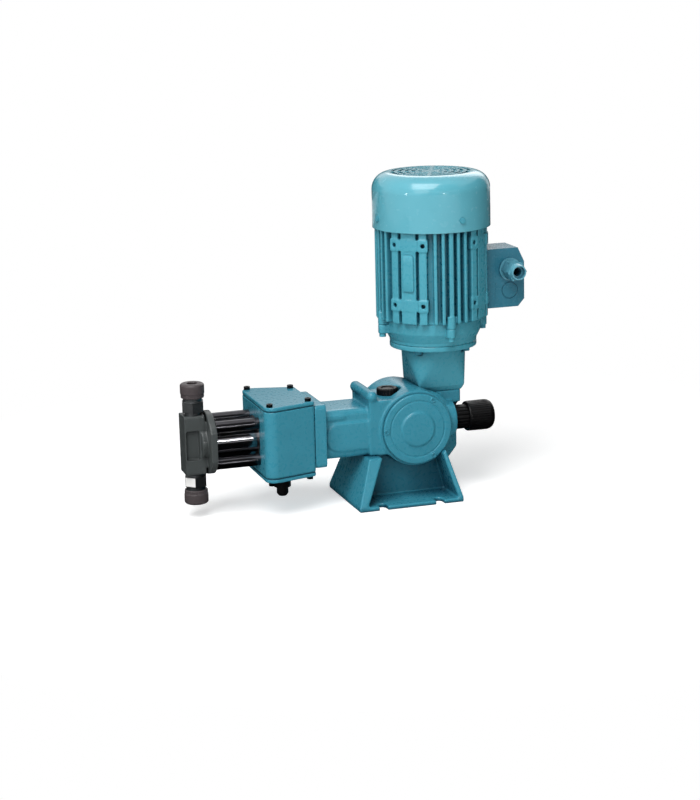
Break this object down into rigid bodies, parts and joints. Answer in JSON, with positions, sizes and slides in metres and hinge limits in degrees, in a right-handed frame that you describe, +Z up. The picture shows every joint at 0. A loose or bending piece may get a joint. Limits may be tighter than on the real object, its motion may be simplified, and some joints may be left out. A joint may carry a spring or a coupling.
{
  "type": "piston metering pump",
  "caption": "Motor-driven piston metering pump: vertical flange motor, worm gearbox on a foot, leakage box, tie-bar pump head with check valves and a stroke knob.",
  "frame": {"origin": "centre of the foot, on its sole", "axes": "+Z up, along the motor shaft; X along the plunger, pump head at -X and stroke knob at +X; the round side cover faces -Y"},
  "size_m": [0.4275, 0.1568, 0.3824],
  "materials": {
    "enamel": "gloss petrol-blue enamel on castings and sheet",
    "bright_steel": "ground and polished",
    "machined_steel": "turned and milled",
    "bronze": "turned bronze",
    "black_plastic": "moulded, satin",
    "black_rubber": "moulded, matt",
    "grey_iron": "dark grey, satin",
    "brown_grey_steel": "brown-grey coated, satin"
  },
  "bodies": {
    "frame": {"foot_stand": "enamel", "stand_screws": "bright_steel", "gearbox_housing": "enamel", "side_cover": "enamel", "side_cover_gasket": "black_rubber", "side_cover_screws": "enamel", "rear_bearing_cap": "enamel", "rear_cap_screws": "bright_steel", "filler_plug": "black_plastic", "worm_bearings": "bright_steel", "shaft_bearings": "bright_steel", "guide_bush": "bronze", "return_spring": "bright_steel", "box_body": "enamel", "box_top_lid": "enamel", "box_bottom_lid": "enamel", "box_lid_gaskets": "black_rubber", "box_lid_screws": "enamel", "box_flange_screws": "bright_steel", "box_drain_plug": "black_plastic", "packing_housing": "bright_steel", "packing_rings": "black_rubber", "packing_gland": "bronze", "plunger_cylinder": "bright_steel", "tie_bars": "bright_steel", "pump_head": "grey_iron", "suction_valve_body": "grey_iron", "discharge_valve_body": "grey_iron", "valve_seats": "bright_steel", "union_nuts": "brown_grey_steel", "stroke_barrel": "black_plastic", "motor_adapter": "enamel", "adapter_screws": "bright_steel", "drive_end_shield": "enamel", "shield_screws": "bright_steel", "stator_housing": "enamel", "stator_core": "machined_steel", "motor_bearings": "bright_steel", "fan_end_shield": "enamel", "fan_cowl": "enamel", "cowl_screws": "bright_steel", "terminal_box_base": "enamel", "terminal_box_cover": "enamel", "terminal_board": "black_plastic", "cable_gland": "enamel"},
    "rotor": {"rotor_shaft": "bright_steel", "rotor_core": "machined_steel", "fan": "black_plastic", "shaft_coupling": "machined_steel", "worm": "bright_steel"},
    "wheel": {"worm_wheel": "bronze", "eccentric_shaft": "bright_steel", "eccentric_ring": "bright_steel"},
    "plunger_body": {"crosshead": "machined_steel", "plunger_coupling": "machined_steel", "plunger": "bright_steel"},
    "stroke_stop": {"stroke_spindle": "bright_steel"},
    "knob": {"stroke_knob": "black_plastic"},
    "suction_ball_body": {"suction_ball": "bright_steel"},
    "discharge_ball_body": {"discharge_ball": "bright_steel"}
  },
  "joints": [
    {"name": "rotor_spin", "type": "hinge", "parent": "frame", "child": "rotor", "pos_m": [0.05962, 0.025, 0.25], "axis": [0, 0, 1], "continuous": true},
    {"name": "wheel_spin", "type": "hinge", "parent": "frame", "child": "wheel", "pos_m": [0.016, 0, 0.088], "axis": [0, 1, 0], "continuous": true},
    {"name": "plunger_slide", "type": "slide", "parent": "frame", "child": "plunger_body", "axis": [1, 0, 0], "range_m": [0, 0.015], "stiffness_N_per_m": 2500, "springref_m": 0.03, "deforming": ["return_spring"]},
    {"name": "stroke_travel", "type": "slide", "parent": "frame", "child": "stroke_stop", "axis": [1, 0, 0], "range_m": [-0.015, 0]},
    {"name": "stroke_knob_turn", "type": "hinge", "parent": "stroke_stop", "child": "knob", "pos_m": [0.106, 0, 0.088], "axis": [1, 0, 0], "range_deg": [-3600, 0]},
    {"name": "suction_ball_lift", "type": "slide", "parent": "frame", "child": "suction_ball_body", "axis": [0, 0, 1], "range_m": [0, 0.0025]},
    {"name": "discharge_ball_lift", "type": "slide", "parent": "frame", "child": "discharge_ball_body", "axis": [0, 0, 1], "range_m": [0, 0.0025]}
  ],
  "couplings": [
    {"joint": "wheel_spin", "follows": "rotor_spin", "ratio": 0.068966},
    {"joint": "stroke_travel", "follows": "stroke_knob_turn", "m_per_rad": 0.00023873}
  ]
}
